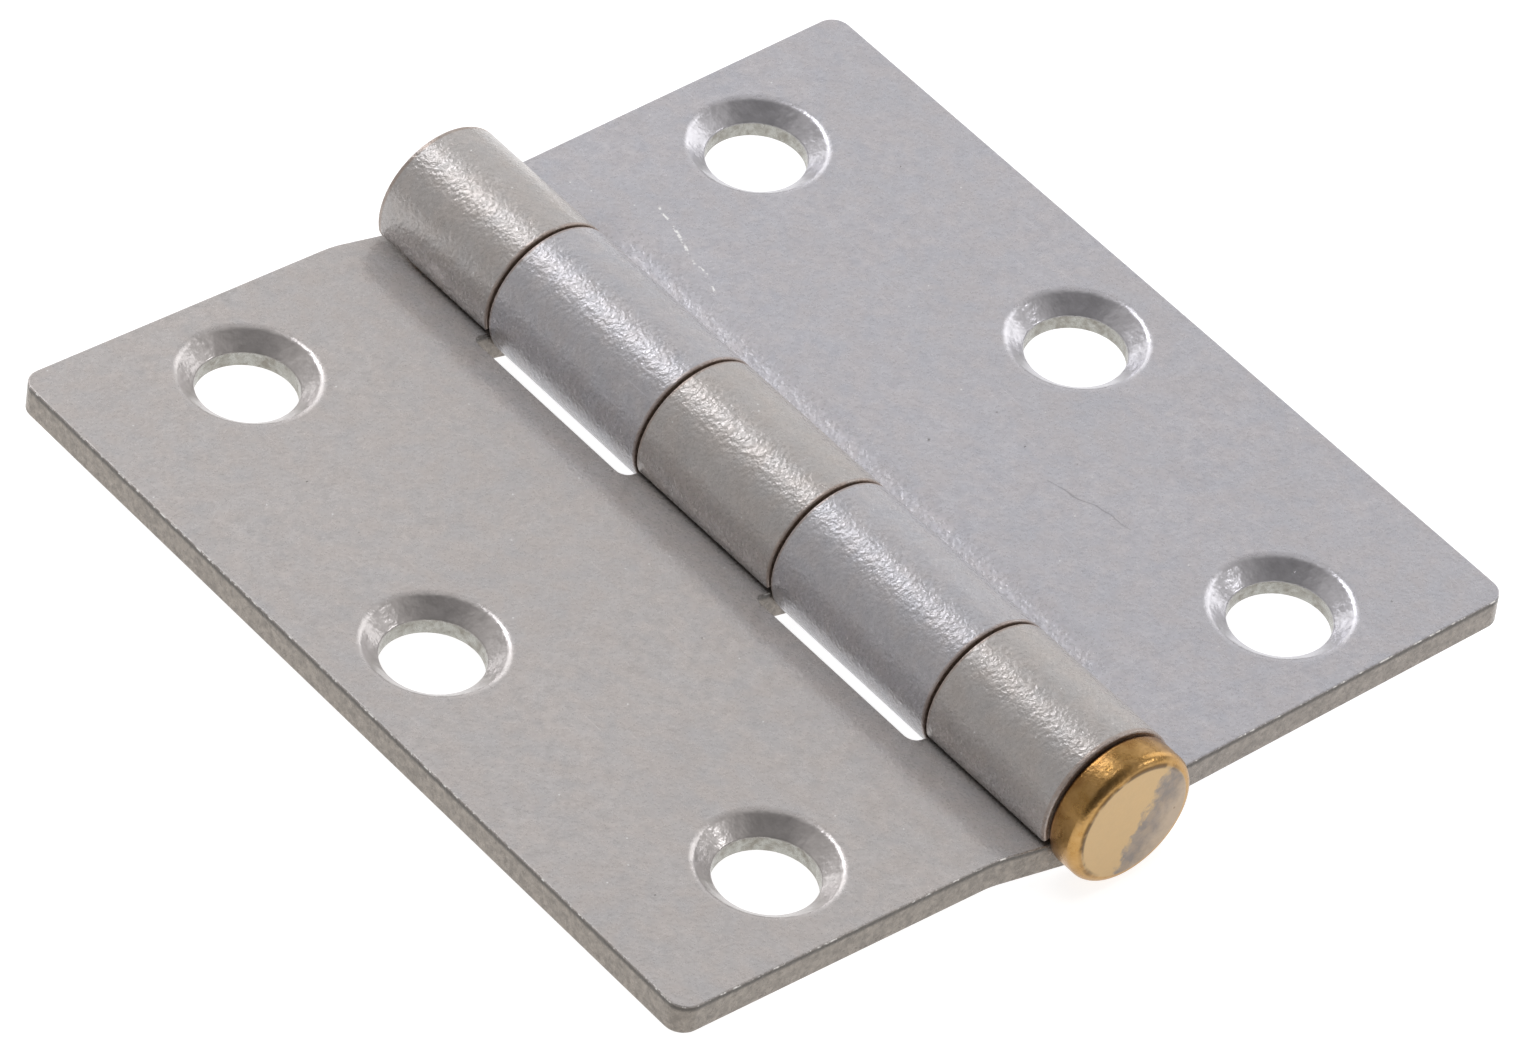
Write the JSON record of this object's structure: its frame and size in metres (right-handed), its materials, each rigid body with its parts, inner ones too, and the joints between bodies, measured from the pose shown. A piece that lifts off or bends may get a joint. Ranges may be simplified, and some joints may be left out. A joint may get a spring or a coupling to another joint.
{
  "type": "loose pin door hinge",
  "caption": "Flat rolled-steel butt hinge, lying open a little short of flat, with countersunk screw holes in both leaves and a headed loose pin.",
  "frame": {"origin": "centre of the hinge's bounding box at its lowest level, straight below the pin's axis at the underside of the barrel", "axes": "+Z out of the countersunk faces; Y along the pin, with the pin's head at -Y; the leaf with three knuckles lies at -X and the leaf with two knuckles at +X"},
  "size_m": [0.0764, 0.079, 0.0113],
  "materials": {
    "warm_steel": "tumbled, matte zinc-grey",
    "cool_steel": "tumbled, matte zinc-grey",
    "pin_brass": "polished"
  },
  "bodies": {
    "leaf_a": {"three_knuckle_leaf": "warm_steel"},
    "leaf_b": {"two_knuckle_leaf": "cool_steel"},
    "pin": {"loose_pin": "pin_brass"}
  },
  "joints": [
    {"name": "leaf_swing", "type": "hinge", "parent": "leaf_a", "child": "leaf_b", "pos_m": [0, 0.00145, 0.00567], "axis": [0, -1, 0], "range_deg": [-117, 179.8]},
    {"name": "pin_pull", "type": "slide", "parent": "leaf_a", "child": "pin", "axis": [0, -1, 0], "range_m": [0, 0.078]}
  ]
}
